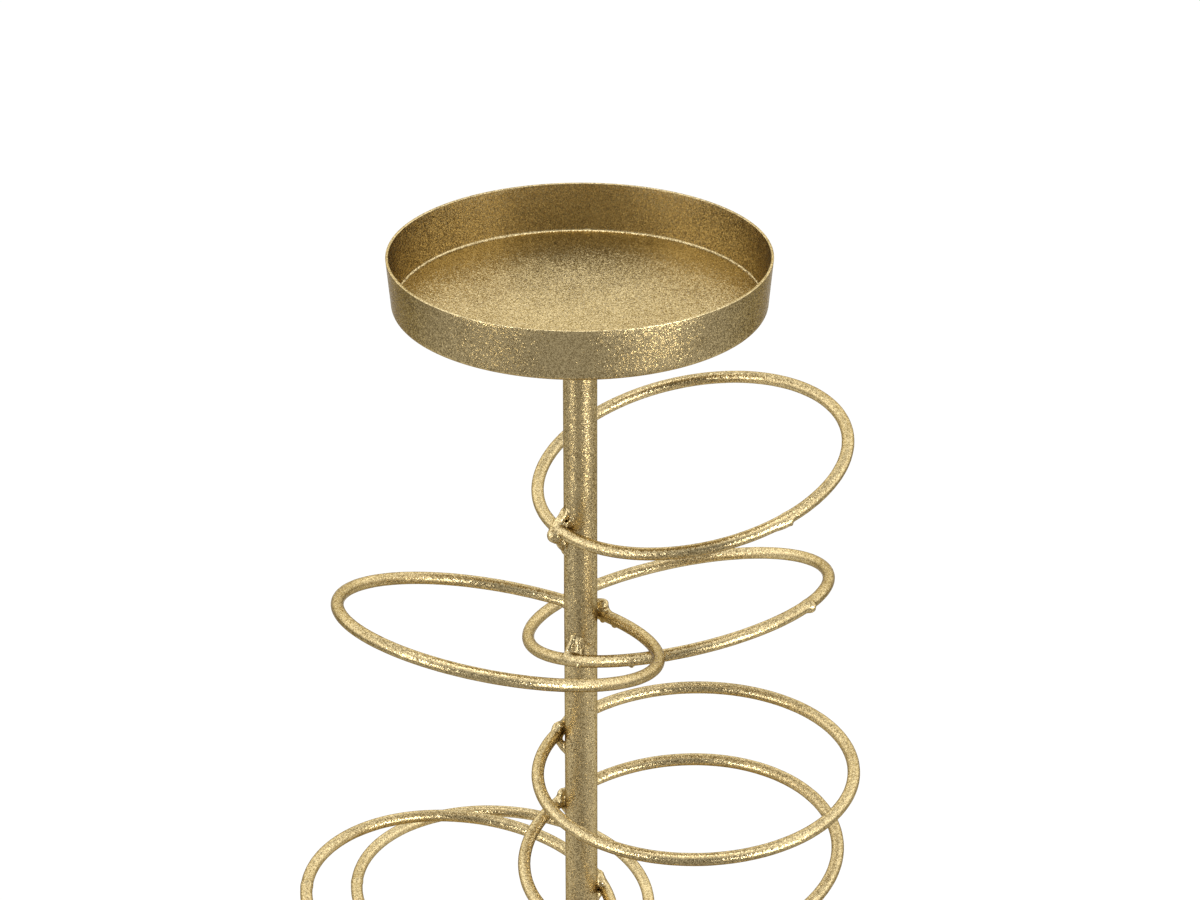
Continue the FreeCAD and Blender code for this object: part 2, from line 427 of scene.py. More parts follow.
def lathe(outline: Array, segments: int, closed: bool) -> Mesh:
    """
    Turns an outline round the Z axis.

    Args:
        outline: Distance from the axis and height of each point, going round the
            section so that the outside is on its right.
        segments: Steps round the axis.
        closed: Whether the last point joins the first. Otherwise both ends lie on
            the axis, and each becomes one vertex.

    Returns:
        Vertices in millimetres, and faces.
    """
    angles = np.linspace(0, 2 * math.pi, segments, endpoint=False)
    rings = outline if closed else outline[1:-1]
    across, up = rings[:, 0], np.repeat(rings[:, 1:], segments, axis=1)
    turned = [np.outer(across, np.cos(angles)), np.outer(across, np.sin(angles)), up]
    vertices = np.stack(turned, axis=-1).reshape(-1, 3)
    faces = wrapped_faces(len(rings), segments, closed)
    if not closed:
        first, last, top = len(vertices), len(vertices) + 1, len(vertices) - segments
        vertices = np.vstack([vertices, [0, 0, outline[0, 1]], [0, 0, outline[-1, 1]]])
        for column in range(segments):
            beside = (column + 1) % segments
            faces += [(first, beside, column), (last, top + column, top + beside)]
    return vertices, faces


def net_surface(inside: Field, low: Array, high: Array, step_mm: float) -> Mesh:
    """
    Meshes the surface at which a distance field is zero, with one vertex in each
    grid cell that the surface passes and one quad across each grid edge.

    Args:
        inside: The field, below zero within the solid.
        low: The grid's lowest corner in millimetres.
        high: The grid's highest corner.
        step_mm: The grid's spacing.

    Returns:
        Vertices in millimetres, and faces.
    """
    counts = np.ceil((high - low) / step_mm).astype(int) + 1
    axes = [low[axis] + step_mm * np.arange(counts[axis]) for axis in range(3)]
    grid = np.stack(np.meshgrid(*axes, indexing="ij"), axis=-1)
    values = inside(grid)
    sums, hits = np.zeros((*counts, 3)), np.zeros(counts)
    crossings = []
    for axis in range(3):
        near, far = [slice(None)] * 3, [slice(None)] * 3
        near[axis], far[axis] = slice(None, -1), slice(1, None)
        start, end = values[tuple(near)], values[tuple(far)]
        edges = np.argwhere((start < 0) != (end < 0))
        spots = tuple(edges.T)
        points = grid[spots].copy()
        points[:, axis] += start[spots] / (start[spots] - end[spots]) * step_mm
        # The four cells round each grid edge that the surface crosses
        cells = []
        for back, under in ((0, 0), (1, 0), (1, 1), (0, 1)):
            cell = edges.copy()
            cell[:, (axis + 1) % 3] -= back
            cell[:, (axis + 2) % 3] -= under
            cells.append(tuple(cell.T))
            np.add.at(sums, cells[-1], points)
            np.add.at(hits, cells[-1], 1)
        crossings.append((cells, start[spots] < 0))
    used = tuple(np.argwhere(hits > 0).T)
    number = -np.ones(counts, int)
    number[used] = np.arange(len(used[0]))
    faces: list[tuple[int, ...]] = []
    for cells, outward in crossings:
        quads = np.stack([number[cell] for cell in cells], axis=1)
        quads[~outward] = quads[~outward][:, ::-1]
        faces += [tuple(quad) for quad in quads.tolist()]
    return sums[used] / hits[used][:, None], faces


def soft_union(first: Array, second: Array, reach_mm: float) -> Array:
    """Joins two distance fields, with a fillet where the surfaces come within a reach."""
    overlap = np.maximum(reach_mm - np.abs(first - second), 0)
    return np.minimum(first, second) - overlap**2 / (4 * reach_mm)


def add_piece(
    name: str,
    node: str,
    material: Material,
    meshes: Sequence[Mesh],
    smoothing: int = 0,
) -> None:
    """
    Makes a smooth shaded piece, dresses it, and lets it stand for a CAD node.

    Args:
        name: The piece's name.
        node: The node that it replaces.
        material: Its finish.
        meshes: Vertices in millimetres, and faces, of each part of it.
        smoothing: How many times each vertex moves half way to its neighbours.
    """
    faces: list[tuple[int, ...]] = []
    offset = 0
    for part_vertices, part_faces in meshes:
        faces += [tuple(corner + offset for corner in face) for face in part_faces]
        offset += len(part_vertices)
    mesh = bpy.data.meshes.new(name)
    mesh.from_pydata((np.vstack([part[0] for part in meshes]) * MM).tolist(), [], faces)
    shaper = bmesh.new()
    shaper.from_mesh(mesh)
    for _ in range(smoothing):
        bmesh.ops.smooth_vert(
            shaper, verts=shaper.verts, factor=0.5, use_axis_x=True, use_axis_y=True, use_axis_z=True
        )
    bmesh.ops.recalc_face_normals(shaper, faces=shaper.faces)
    shaper.to_mesh(mesh)
    shaper.free()
    mesh.shade_smooth()
    mesh.materials.append(material)
    piece = bpy.data.objects.new(name, mesh)
    bpy.context.scene.collection.objects.link(piece)
    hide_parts(node)
    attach(piece, ROOT_BODY)
    LOG.info("%s stands for %s: %d faces", name, node, len(mesh.polygons))


def box_mm(node: str) -> tuple[Array, Array]:
    """Lowest and highest corner of a CAD node, in millimetres."""
    low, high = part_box(node)
    return np.array(low) / MM, np.array(high) / MM


# The tray


@dataclass(frozen=True)
class Mark:
    """
    A nub on the sheet, or a pit where its rise is below zero. Its place is measured
    from the middle of the tray's underside.
    """

    place: Place
    rise_mm: float
    width_mm: float


@dataclass
class CandleTray:
    """The dish: a disc of sheet steel pressed in one stroke, its cut rim deburred."""

    lacquer: Material
    node: str = "candle_tray"
    floor_radius: float = 53.6
    sheet: float = 0.8
    corner_radius: float = 1.6
    rim_rounding: float = 0.32
    # The press leaves the wall and the floor a little uneven
    wall_waves: Ripple = Ripple(seed=11, shortest_mm=45, longest_mm=120)
    wall_unevenness: float = 0.12
    floor_waves: Ripple = Ripple(seed=12, shortest_mm=30, longest_mm=70)
    floor_sag: float = 0.12
    sag_margin: float = 4
    sag_slope: float = 10
    segments: int = 360
    step: float = 1.6
    # A nub in the seam between floor and wall, a pit on the floor, and a nub outside
    marks: tuple[Mark, ...] = (
        Mark((2.2, 52.6, 1.3), 0.45, 0.55),
        Mark((-46.0, 6.9, 0.8), -0.35, 0.6),
        Mark((-49.9, -23.1, 12.5), 0.3, 0.5),
    )

    def section(self) -> Array:
        """
        The dish's section, from the middle of its underside round to its floor.

        Returns:
            The section's points.
        """
        low, high = box_mm(self.node)
        rim_radius, height = (high[0] - low[0]) / 2, high[2] - low[2]
        lean = (rim_radius - self.floor_radius) / height
        inset = self.sheet * math.hypot(1, lean)
        inner_floor_radius = self.floor_radius + lean * self.sheet - inset
        return rounded(
            [
                (0, 0, 0),
                (self.floor_radius, 0, self.corner_radius),
                (rim_radius, height, self.rim_rounding),
                (rim_radius - inset, height, self.rim_rounding),
                (inner_floor_radius, self.sheet, self.corner_radius - self.sheet),
                (0, self.sheet, 0),
            ],
            self.step,
        )

    def build(self) -> None:
        """Presses the dish and dresses it."""
        low, high = box_mm(self.node)
        vertices, faces = lathe(self.section(), self.segments, closed=False)
        radius = np.hypot(vertices[:, 0], vertices[:, 1])
        outward = vertices / np.maximum(radius, 1)[:, None] * [1, 1, 0]
        height = vertices[:, 2] / (high[2] - low[2])
        swell = (self.wall_waves.dip(outward * self.floor_radius) - 1) * self.wall_unevenness * height
        vertices = vertices + outward * swell[:, None]
        on_floor = np.clip((self.floor_radius - self.sag_margin - radius) / self.sag_slope, 0, 1)
        vertices[:, 2] -= on_floor * self.floor_sag * (self.floor_waves(vertices) + 1) / 2
        vertices[:, 2] = np.maximum(vertices[:, 2], 0)
        for mark in self.marks:
            away = ((vertices - mark.place) ** 2).sum(axis=1)
            vertices[:, 2] += mark.rise_mm * np.exp(-away / mark.width_mm**2)
        vertices[:, 2] += low[2]
        add_piece("tray_pressing", self.node, self.lacquer, [(vertices, faces)])


# The stem and the fillet welds at its ends


@dataclass
class Stem:
    """The stem: a drawn steel tube, cut square."""

    lacquer: Material
    node: str = "stem"
    wall: float = 1.0
    edge_rounding: float = 0.2
    waves: Ripple = Ripple(seed=21, shortest_mm=25, longest_mm=90)
    waver: float = 0.05
    segments: int = 96
    step: float = 1.5

    @property
    def radius(self) -> float:
        """The tube's outer radius, from the frame."""
        low, high = box_mm(self.node)
        return float(high[0] - low[0]) / 2

    def build(self) -> None:
        """Draws the tube and dresses it."""
        low, high = box_mm(self.node)
        outer, inner = self.radius, self.radius - self.wall
        middle = (inner, (low[2] + high[2]) / 2, 0)
        ends = [(inner, low[2]), (outer, low[2]), (outer, high[2]), (inner, high[2])]
        corners = [middle, *((*end, self.edge_rounding) for end in ends), middle]
        vertices, faces = lathe(rounded(corners, self.step)[:-1], self.segments, closed=True)
        inward = (self.waves.dip(vertices) - 1) * self.waver / outer
        vertices[:, :2] *= 1 + inward[:, None]
        add_piece("stem_tube", self.node, self.lacquer, [(vertices, faces)])


@dataclass
class FilletWeld:
    """A bead run round the stem in the corner that it makes with a flat piece."""

    lacquer: Material
    node: str
    facing: Facing
    seed: int
    stem_radius: float
    # The bead's crescents: how many, how high, how far their ends lag, the share of
    # that height by which the lows between them sink, and how their spacing wanders
    crescents: int = 24
    crescent_height: float = 0.32
    crescent_lag: float = 2.2
    crescent_low: float = 0.6
    crescent_wander: float = 0.5
    # The bead's size drifts round the stem, in waves of these lengths
    drift: float = 0.125
    shortest_drift: float = 9
    longest_drift: float = 30
    # The face stops short of the drawn toes and crowns out between them, and the
    # bead goes on into the stem's wall
    face_share: float = 0.96
    crown_share: float = 0.12
    sink: float = 0.3
    segments: int = 384
    points: int = 18

    def build(self) -> None:
        """Lays the bead and dresses it."""
        low, high = box_mm(self.node)
        leg = high[2] - low[2]
        shares = np.linspace(0, 1, self.points)
        crown = self.crown_share * leg * np.sin(shares * math.pi)
        across = self.stem_radius + leg * (1 - shares) * self.face_share + crown
        up = leg * shares * self.face_share + crown
        inside = self.stem_radius - self.sink
        outline = np.vstack([np.stack([across, up], axis=1), [inside, leg], [inside, 0]])
        vertices, faces = lathe(outline, self.segments, closed=True)
        vertices = self.rippled(vertices, np.append(shares, [1, 0]))
        vertices[:, 2] = np.clip(vertices[:, 2], 0, leg)
        if self.facing is Facing.DOWN:
            vertices[:, 2] += low[2]
        else:
            vertices[:, 2] = high[2] - vertices[:, 2]
        add_piece(f"{self.node}_bead", self.node, self.lacquer, [(vertices, faces)])

    def rippled(self, vertices: Array, shares: Array) -> Array:
        """
        Stacks the bead's crescents and lets its size drift.

        Args:
            vertices: The smooth bead's vertices, its outline's points one ring each.
            shares: How far up the bead each of its rings lies.

        Returns:
            The moved vertices.
        """
        grid = vertices.reshape(len(shares), self.segments, 3).copy()
        angles = np.arctan2(grid[:, :, 1], grid[:, :, 0])
        lag = self.crescent_lag * (shares[:, None] * 2 - 1) ** 2
        wander = self.crescent_wander * np.sin(3 * angles + self.seed)
        phase = angles * self.crescents + lag + wander
        crescent = (np.abs(np.sin(phase / 2)) - self.crescent_low) * self.crescent_height
        drift = Ripple(self.seed, self.shortest_drift, self.longest_drift)(grid) * self.drift
        swell = np.sin(shares[:, None] * math.pi) * (crescent + drift)
        grid[:, :, :2] *= 1 + (swell / np.hypot(grid[:, :, 0], grid[:, :, 1]))[:, :, None]
        grid[:, :, 2] += swell
        return grid.reshape(-1, 3)


# The rings and their tack welds


@dataclass(frozen=True)
class RingLie:
    """Where a wire ring lies, in millimetres, with its own three directions."""

    centre: Array
    towards_stem: Array
    along_wire: Array
    upright: Array
    radius: float
    wire_radius: float
    butt_angle: float

    @property
    def touch(self) -> Array:
        """The place on the wire's middle line that is nearest the stem."""
        return self.centre + self.radius * self.towards_stem

    def distance(self, points: Array) -> Array:
        """
        Distances from the wire's surface.

        Args:
            points: Places in millimetres.

        Returns:
            The distances, below zero inside the wire.
        """
        directions = np.stack([self.towards_stem, self.along_wire, self.upright], axis=1)
        own = (points - self.centre) @ directions
        outside = np.hypot(own[..., 0], own[..., 1]) - self.radius
        return np.hypot(outside, own[..., 2]) - self.wire_radius

    def on_wire(self, angle: Values, section: Values, depth: Values) -> Array:
        """
        Places round the wire.

        Args:
            angle: Angles round the ring, from where it touches the stem.
            section: Angles round the wire, from the ring's outside up.
            depth: Distances from the wire's middle line.

        Returns:
            The points.
        """
        across = np.cos(angle)[..., None] * self.towards_stem
        spoke = across + np.sin(angle)[..., None] * self.along_wire
        reach = self.radius + depth * np.cos(section)
        lift = depth * np.sin(section)
        return self.centre + reach[..., None] * spoke + lift[..., None] * self.upright


def measure_ring(node: str) -> RingLie:
    """
    Fits a ring of round wire to a CAD node's vertices.

    Args:
        node: The ring's node.

    Returns:
        Where the ring lies, and at what angle its butt weld stands proud.
    """
    points = np.array([vertex.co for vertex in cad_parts[node].data.vertices]) / MM
    centre = (points.min(axis=0) + points.max(axis=0)) / 2
    upright = np.linalg.svd(points - centre, full_matrices=False)[2][2]
    # The fit starts from these sizes. It drops the vertices that stand proud of the
    # wire once the first rounds have brought the ring near its place.
    ring_radius, wire_radius = 47.0, 1.9
    proud_mm, nudge_mm = 0.04, 1e-4
    rounds, first_rounds = 12, 4
    fine_steps = 72000
    guess = np.array([*centre, *upright, ring_radius, wire_radius])

    def misfit(values: Array) -> Array:
        """
        How far each vertex lies from the surface of a ring.

        Args:
            values: The ring's centre, axis, radius and wire radius.

        Returns:
            The distances.
        """
        axis = values[3:6] / np.linalg.norm(values[3:6])
        away = points - values[:3]
        rise = away @ axis
        spread = np.linalg.norm(away - rise[:, None] * axis, axis=1)
        return np.hypot(spread - values[6], rise) - values[7]

    keep = np.ones(len(points), bool)
    for turn in range(rounds):
        errors = misfit(guess)
        if turn >= first_rounds:
            keep = np.abs(errors) < proud_mm
        nudges = nudge_mm * np.eye(len(guess))
        slopes = np.stack([(misfit(guess + nudge) - errors) / nudge_mm for nudge in nudges], axis=1)
        guess = guess - np.linalg.lstsq(slopes[keep], errors[keep], rcond=None)[0]
    centre, radius, wire_radius = guess[:3], float(guess[6]), float(guess[7])
    upright = guess[3:6] / np.linalg.norm(guess[3:6])
    upright = upright * math.copysign(1, upright[2])
    level = np.cross([0, 0, 1], upright)
    level = level / np.linalg.norm(level)
    slope = np.cross(upright, level)
    angles = np.linspace(0, 2 * math.pi, fine_steps, endpoint=False)
    spokes = np.cos(angles)[:, None] * level + np.sin(angles)[:, None] * slope
    circle = centre + radius * spokes
    towards_stem = spokes[np.argmin(np.hypot(circle[:, 0], circle[:, 1]))]
    along_wire = np.cross(upright, towards_stem)
    proud = (points - centre)[misfit(guess) > proud_mm].mean(axis=0)
    butt_angle = math.atan2(float(proud @ along_wire), float(proud @ towards_stem))
    return RingLie(centre, towards_stem, along_wire, upright, radius, wire_radius, butt_angle)


@dataclass(frozen=True)
class Lump:
    """
    Weld metal that stands proud on one side of a butt weld. Its section angle turns
    from the ring's outside up.
    """

    beside_mm: float
    section_deg: float
    rise_mm: float
    length_mm: float
    spread_deg: float


@dataclass
class WireRing:
    """A ring of round wire, rolled to a circle and closed by a butt weld."""

    lacquer: Material
    number: int
    lie: RingLie
    lumps: tuple[Lump, ...]
    # How far the butt weld stands proud all round, and over what length
    rise: float = 0.1
    rise_length: float = 1.1
    # The rolled wire wavers, in waves of these lengths
    waver: float = 0.035
    shortest_wave: float = 2
    longest_wave: float = 9
    first_seed: int = 30
    segments: int = 640
    sides: int = 32

    @property
    def node(self) -> str:
        """The name of the ring's CAD node."""
        return f"ring_{self.number}"

    def build(self) -> None:
        """Rolls the wire, welds it shut and dresses it."""
        lie, turn = self.lie, 2 * math.pi
        angle = np.linspace(0, turn, self.segments, endpoint=False)[:, None]
        section = np.linspace(0, turn, self.sides, endpoint=False)[None, :]
        beside = ((angle - lie.butt_angle + math.pi) % turn - math.pi) * lie.radius
        depth = lie.wire_radius + self.rise * np.exp(-((beside / self.rise_length) ** 2))
        for lump in self.lumps:
            away = (section - math.radians(lump.section_deg) + math.pi) % turn - math.pi
            across = (away / math.radians(lump.spread_deg)) ** 2
            along = ((beside - lump.beside_mm) / lump.length_mm) ** 2
            depth = depth + lump.rise_mm * np.exp(-across - along)
        waves = Ripple(self.first_seed + self.number, self.shortest_wave, self.longest_wave)
        depth = depth - self.waver * waves.dip(lie.on_wire(angle, section, lie.wire_radius))
        vertices = lie.on_wire(angle, section, depth).reshape(-1, 3)
        faces = wrapped_faces(self.segments, self.sides, closed=True)
        add_piece(f"{self.node}_wire", self.node, self.lacquer, [(vertices, faces)])


@dataclass(frozen=True)
class Drop:
    """
    A run of weld metal between two places, measured from where the ring touches the
    stem: outwards from the stem, along the stem's side, and up.
    """

    start: Place
    end: Place
    start_radius: float
    end_radius: float

    def distance(self, points: Array) -> Array:
        """
        Distances from the run's surface.

        Args:
            points: Places measured in the same way.

        Returns:
            The distances, below zero inside the run.
        """
        start, end = np.array(self.start), np.array(self.end)
        run = end - start
        share = np.clip((points - start) @ run / max(float(run @ run), 1e-9), 0, 1)
        away = np.linalg.norm(points - (start + share[..., None] * run), axis=-1)
        return away - (self.start_radius + share * (self.end_radius - self.start_radius))


@dataclass(frozen=True)
class Spatter:
    """A bead of spatter stuck to the wire."""

    along_mm: float
    section_deg: float
    radius: float


@dataclass
class TackWeld:
    """A tack weld that holds a ring to the stem, run by hand in several dabs."""

    lacquer: Material
    number: int
    lie: RingLie
    stem_radius: float
    stem_wall: float
    drops: tuple[Drop, ...]
    spatter: tuple[Spatter, ...] = ()
    # How softly runs melt into each other and into the steel, how far the melted
    # metal spreads past a run, and how much of its skin is taken off
    blend: float = 0.7
    toe_blend: float = 1.1
    edge: float = 0.75
    skin: float = 0.05
    # The metal's surface is uneven, in waves of these lengths
    unevenness: float = 0.1
    shortest_wave: float = 1.3
    longest_wave: float = 4.0
    first_seed: int = 50
    # A bead of spatter sits this share of its radius off the wire
    spatter_share: float = 0.2
    smoothing: int = 2
    grid_step: float = 0.2
    grid_margin: float = 0.6

    @property
    def node(self) -> str:
        """The name of the weld's CAD node."""
        return f"ring_{self.number}_weld"

    def directions(self) -> Array:
        """Outwards from the stem, along its side and up, one in each row."""
        outward = self.lie.touch * [1, 1, 0] / np.linalg.norm(self.lie.touch[:2])
        return np.stack([outward, np.cross([0, 0, 1], outward), [0, 0, 1]])

    def metal(self, drops: Sequence[Drop]) -> Field:
        """
        The field of a patch of weld metal, melted into the stem and the wire.

        Args:
            drops: The runs that it is made of.

        Returns:
            The patch's distance field, over places in the frame.
        """
        turned = self.directions().T
        waves = Ripple(self.first_seed + self.number, self.shortest_wave, self.longest_wave)

        def inside(points: Array) -> Array:
            """
            Distances from the patch.

            Args:
                points: Places in millimetres.

            Returns:
                The distances, below zero inside the patch.
            """
            own = (points - self.lie.touch) @ turned
            runs = drops[0].distance(own)
            for drop in drops[1:]:
                runs = soft_union(runs, drop.distance(own), self.blend)
            runs = runs + self.unevenness * waves(points)
            from_axis = np.hypot(points[..., 0], points[..., 1])
            steel = np.minimum(from_axis - self.stem_radius, self.lie.distance(points))
            melted = soft_union(runs, steel, self.toe_blend) + self.skin
            bore = self.stem_radius - self.stem_wall / 2 - from_axis
            return np.maximum(np.maximum(melted, runs - self.edge), bore)

        return inside

    def patch(self, drops: Sequence[Drop]) -> Mesh:
        """
        Meshes a patch of weld metal.

        Args:
            drops: The runs that it is made of.

        Returns:
            Vertices in millimetres, and faces.
        """
        ends = np.array([end for drop in drops for end in (drop.start, drop.end)])
        widest = max(max(drop.start_radius, drop.end_radius) for drop in drops)
        reach = widest + self.edge + self.grid_margin
        places = self.lie.touch + ends @ self.directions()
        low, high = places.min(axis=0) - reach, places.max(axis=0) + reach
        return net_surface(self.metal(drops), low, high, self.grid_step)

    def build(self) -> None:
        """Runs the weld, drops its spatter and dresses it."""
        patches = [self.patch(self.drops)]
        for bead in self.spatter:
            off_wire = self.lie.wire_radius + self.spatter_share * bead.radius
            angle, section = bead.along_mm / self.lie.radius, math.radians(bead.section_deg)
            place = self.lie.on_wire(angle, section, off_wire)
            spot = tuple(self.directions() @ (place - self.lie.touch))
            patches.append(self.patch([Drop(spot, spot, bead.radius, bead.radius)]))
        name = f"{self.node}_metal"
        add_piece(name, self.node, self.lacquer, patches, smoothing=self.smoothing)


# Weld metal seen in the photograph on rings 1 to 4: the runs of each tack weld
SEEN_DROPS: dict[int, tuple[Drop, ...]] = {
    1: (
        Drop((1.4, 0.0, -1.4), (0.6, -1.2, -1.8), 2.55, 2.35),
        Drop((-0.2, -1.4, 1.6), (-2.6, -2.4, 4.4), 1.2, 0.9),
        Drop((-0.4, -0.6, 1.6), (-2.4, -0.6, 4.6), 1.0, 0.7),
        Drop((0.0, 0.1, 1.5), (-2.1, 1.0, 5.6), 0.9, 0.6),
        Drop((-1.7, 1.2, 1.9), (-2.5, 2.4, 3.4), 0.65, 0.5),
        Drop((0.3, -1.0, -2.6), (-2.1, -1.2, -8.4), 1.7, 0.6),
        Drop((-0.5, 1.0, -3.6), (-0.7, 1.2, -4.0), 0.8, 0.7),
    ),
    2: (
        Drop((-1.2, 0.4, 2.4), (0.3, -2.4, 3.0), 2.0, 2.0),
        Drop((0.2, -2.4, 2.4), (0.3, -4.0, 0.9), 1.5, 1.2),
        Drop((-1.4, 1.6, 0.4), (-1.6, 1.8, -1.6), 1.5, 1.2),
    ),
    3: (
        Drop((-1.4, 0.8, 0.2), (-2.0, 4.6, 1.4), 1.6, 1.4),
        Drop((-0.4, 2.2, 2.0), (-2.3, 1.8, 6.6), 1.65, 0.9),
        Drop((-2.6, 4.1, 2.4), (-3.2, 3.4, 6.2), 1.35, 0.85),
        Drop((-1.8, 2.8, 2.0), (-2.9, 2.6, 4.4), 1.2, 0.9),
        Drop((-0.5, 2.4, 1.5), (-0.4, 3.7, 1.7), 1.4, 1.3),
        Drop((-2.2, 2.8, 0.8), (-2.5, 4.0, 1.4), 1.5, 1.3),
        Drop((-6.5, 5.0, 5.0), (-6.5, 5.0, 5.0), 0.5, 0.5),
    ),
    4: (
        Drop((-1.5, -1.0, 2.2), (0.2, 1.9, 1.6), 1.5, 1.6),
        Drop((-1.0, 1.4, 2.8), (-2.6, 2.4, 5.8), 1.1, 0.5),
        Drop((-0.2, 2.4, -1.8), (-2.3, 1.9, -5.4), 1.5, 0.9),
    ),
}
SEEN_SPATTER: dict[int, tuple[Spatter, ...]] = {
    1: (Spatter(5.5, -115, 0.4),),
    2: (Spatter(-3.4, -100, 0.45), Spatter(-8.2, -95, 0.5)),
    3: (Spatter(25.4, -60, 0.5), Spatter(7.6, -30, 0.45)),
}
# Weld metal on the butt welds of rings 1 and 3, as the photograph shows it
SEEN_LUMPS: dict[int, tuple[Lump, ...]] = {
    1: (
        Lump(0.3, -30, 0.55, 0.6, 50),
        Lump(-1.2, -30, 0.45, 1.3, 50),
        Lump(-3.0, -35, 0.3, 1.4, 45),
    ),
    3: (Lump(0.0, -20, 1.0, 1.25, 60),),
}


# Every ring's own draw starts from one of these seeds and its number
USUAL_DROPS_SEED = 70
USUAL_LUMPS_SEED = 90


def usual_drops(number: int) -> tuple[Drop, ...]:
    """
    The runs of a tack weld that the photograph doesn't show: a main run on top of
    the wire, one below it, and a short dab beside them.

    Args:
        number: The ring's number, which also settles the run's small differences.

    Returns:
        The runs.
    """
    draw = np.random.default_rng(USUAL_DROPS_SEED + number)
    lean, lift, side = draw.uniform(-1.2, 1.2, 3)
    return (
        Drop((-1.0, lean - 1.5, 1.8), (-0.4, lean + 1.8, 2.0), 1.6, 1.8),
        Drop((-0.9, lean, 2.6), (-2.3, lean + side, 5.0 + lift / 2), 1.1, 0.7),
        Drop((-0.6, side, -2.2), (-2.2, side - 0.6, -5.2 + lift / 2), 1.4, 0.8),
        Drop((-1.4, side + 1.8, 0.4), (-1.8, side + 2.8, 1.2), 1.1, 0.8),
    )


def usual_lumps(number: int) -> tuple[Lump, ...]:
    """
    The lumps of a butt weld that the photograph doesn't show.

    Args:
        number: The ring's number, which also settles the lumps' differences.

    Returns:
        The lumps.
    """
    draw = np.random.default_rng(USUAL_LUMPS_SEED + number)
    return (
        Lump(draw.uniform(-0.5, 0.5), draw.uniform(-120, -80), draw.uniform(0.3, 0.6), 1.2, 45),
        Lump(draw.uniform(-1.0, 1.0), draw.uniform(80, 120), draw.uniform(0.15, 0.3), 0.8, 35),
    )


@dataclass
class RingStack:
    """The eight rings down the stem, and the tack weld of each."""

    lacquer: Material
    stem: Stem
    count: int = 8

    def build(self) -> None:
        """Rolls each ring, tacks it to the stem and dresses both."""
        for number in range(1, self.count + 1):
            lie = measure_ring(f"ring_{number}")
            lumps = SEEN_LUMPS.get(number, usual_lumps(number))
            drops = SEEN_DROPS.get(number, usual_drops(number))
            spatter = SEEN_SPATTER.get(number, ())
            WireRing(self.lacquer, number, lie, lumps).build()
            TackWeld(
                self.lacquer, number, lie, self.stem.radius, self.stem.wall, drops, spatter
            ).build()


# The base


@dataclass
class Base:
    """The foot: a round steel plate with a felt disc glued under it."""

    lacquer: Material
    felt: Material
    plate_node: str = "base_plate"
    felt_node: str = "base_felt"
    upper_rounding: float = 1.5
    lower_rounding: float = 0.3
    felt_rounding: float = 0.35
    plate_waves: Ripple = Ripple(seed=61, shortest_mm=40, longest_mm=120)
    flatness: float = 0.06
    # The felt's cut edge is ragged, in a band of this width
    edge_waves: Ripple = Ripple(seed=62, shortest_mm=1.5, longest_mm=7)
    edge_band: float = 2
    raggedness: float = 0.25
    segments: int = 360
    step: float = 2.5

    def disc(self, node: str, lower: float, upper: float) -> Mesh:
        """
        A round disc of a node's size.

        Args:
            node: The CAD node.
            lower: Rounding of its lower edge.
            upper: Rounding of its upper edge.

        Returns:
            Vertices in millimetres, and faces.
        """
        low, high = box_mm(node)
        radius = (high[0] - low[0]) / 2
        foot, head = (radius, low[2], lower), (radius, high[2], upper)
        outline = rounded([(0, low[2], 0), foot, head, (0, high[2], 0)], self.step)
        return lathe(outline, self.segments, closed=False)

    def build(self) -> None:
        """Cuts the plate and the felt, and dresses them."""
        vertices, faces = self.disc(self.plate_node, self.lower_rounding, self.upper_rounding)
        low, high = box_mm(self.plate_node)
        on_top = (vertices[:, 2] - low[2]) / (high[2] - low[2])
        vertices[:, 2] -= on_top * self.flatness * self.plate_waves.dip(vertices)
        add_piece("base_plate_disc", self.plate_node, self.lacquer, [(vertices, faces)])

        vertices, faces = self.disc(self.felt_node, self.felt_rounding, self.felt_rounding)
        radius = np.hypot(vertices[:, 0], vertices[:, 1])
        at_edge = np.clip(radius - radius.max() + self.edge_band, 0, 1)
        ragged = at_edge * self.raggedness * (self.edge_waves.dip(vertices) - 1)
        vertices[:, :2] *= (1 + ragged / np.maximum(radius, 1))[:, None]
        add_piece("base_felt_disc", self.felt_node, self.felt, [(vertices, faces)])


# The studio

# A change that starts and ends softly
SOFT: dict[str | int, object] = {"interpolation_type": "SMOOTHSTEP"}


@dataclass(frozen=True)
class Softbox:
    """A soft white light that looks at the middle of the tray's underside."""

    name: str
    azimuth_deg: float
    elevation_deg: float
    distance: float
    width: float
    height: float
    watts: float

    def build(self, target: Vector) -> None:
        """
        Hangs the light, turned towards the target.

        Args:
            target: The place that it looks at.
        """
        azimuth, elevation = math.radians(self.azimuth_deg), math.radians(self.elevation_deg)
        aside, ahead = math.sin(azimuth), -math.cos(azimuth)
        level = math.cos(elevation)
        direction = Vector((aside * level, ahead * level, math.sin(elevation)))
        data = bpy.data.lights.new(self.name, "AREA")
        data.shape = "RECTANGLE"
        data.size = self.width
        data.size_y = self.height
        data.energy = self.watts
        lamp = bpy.data.objects.new(self.name, data)
        lamp.location = target + direction * self.distance
        lamp.rotation_euler = direction.to_track_quat("Z", "Y").to_euler()
        lamp.visible_camera = False
        bpy.context.scene.collection.objects.link(lamp)


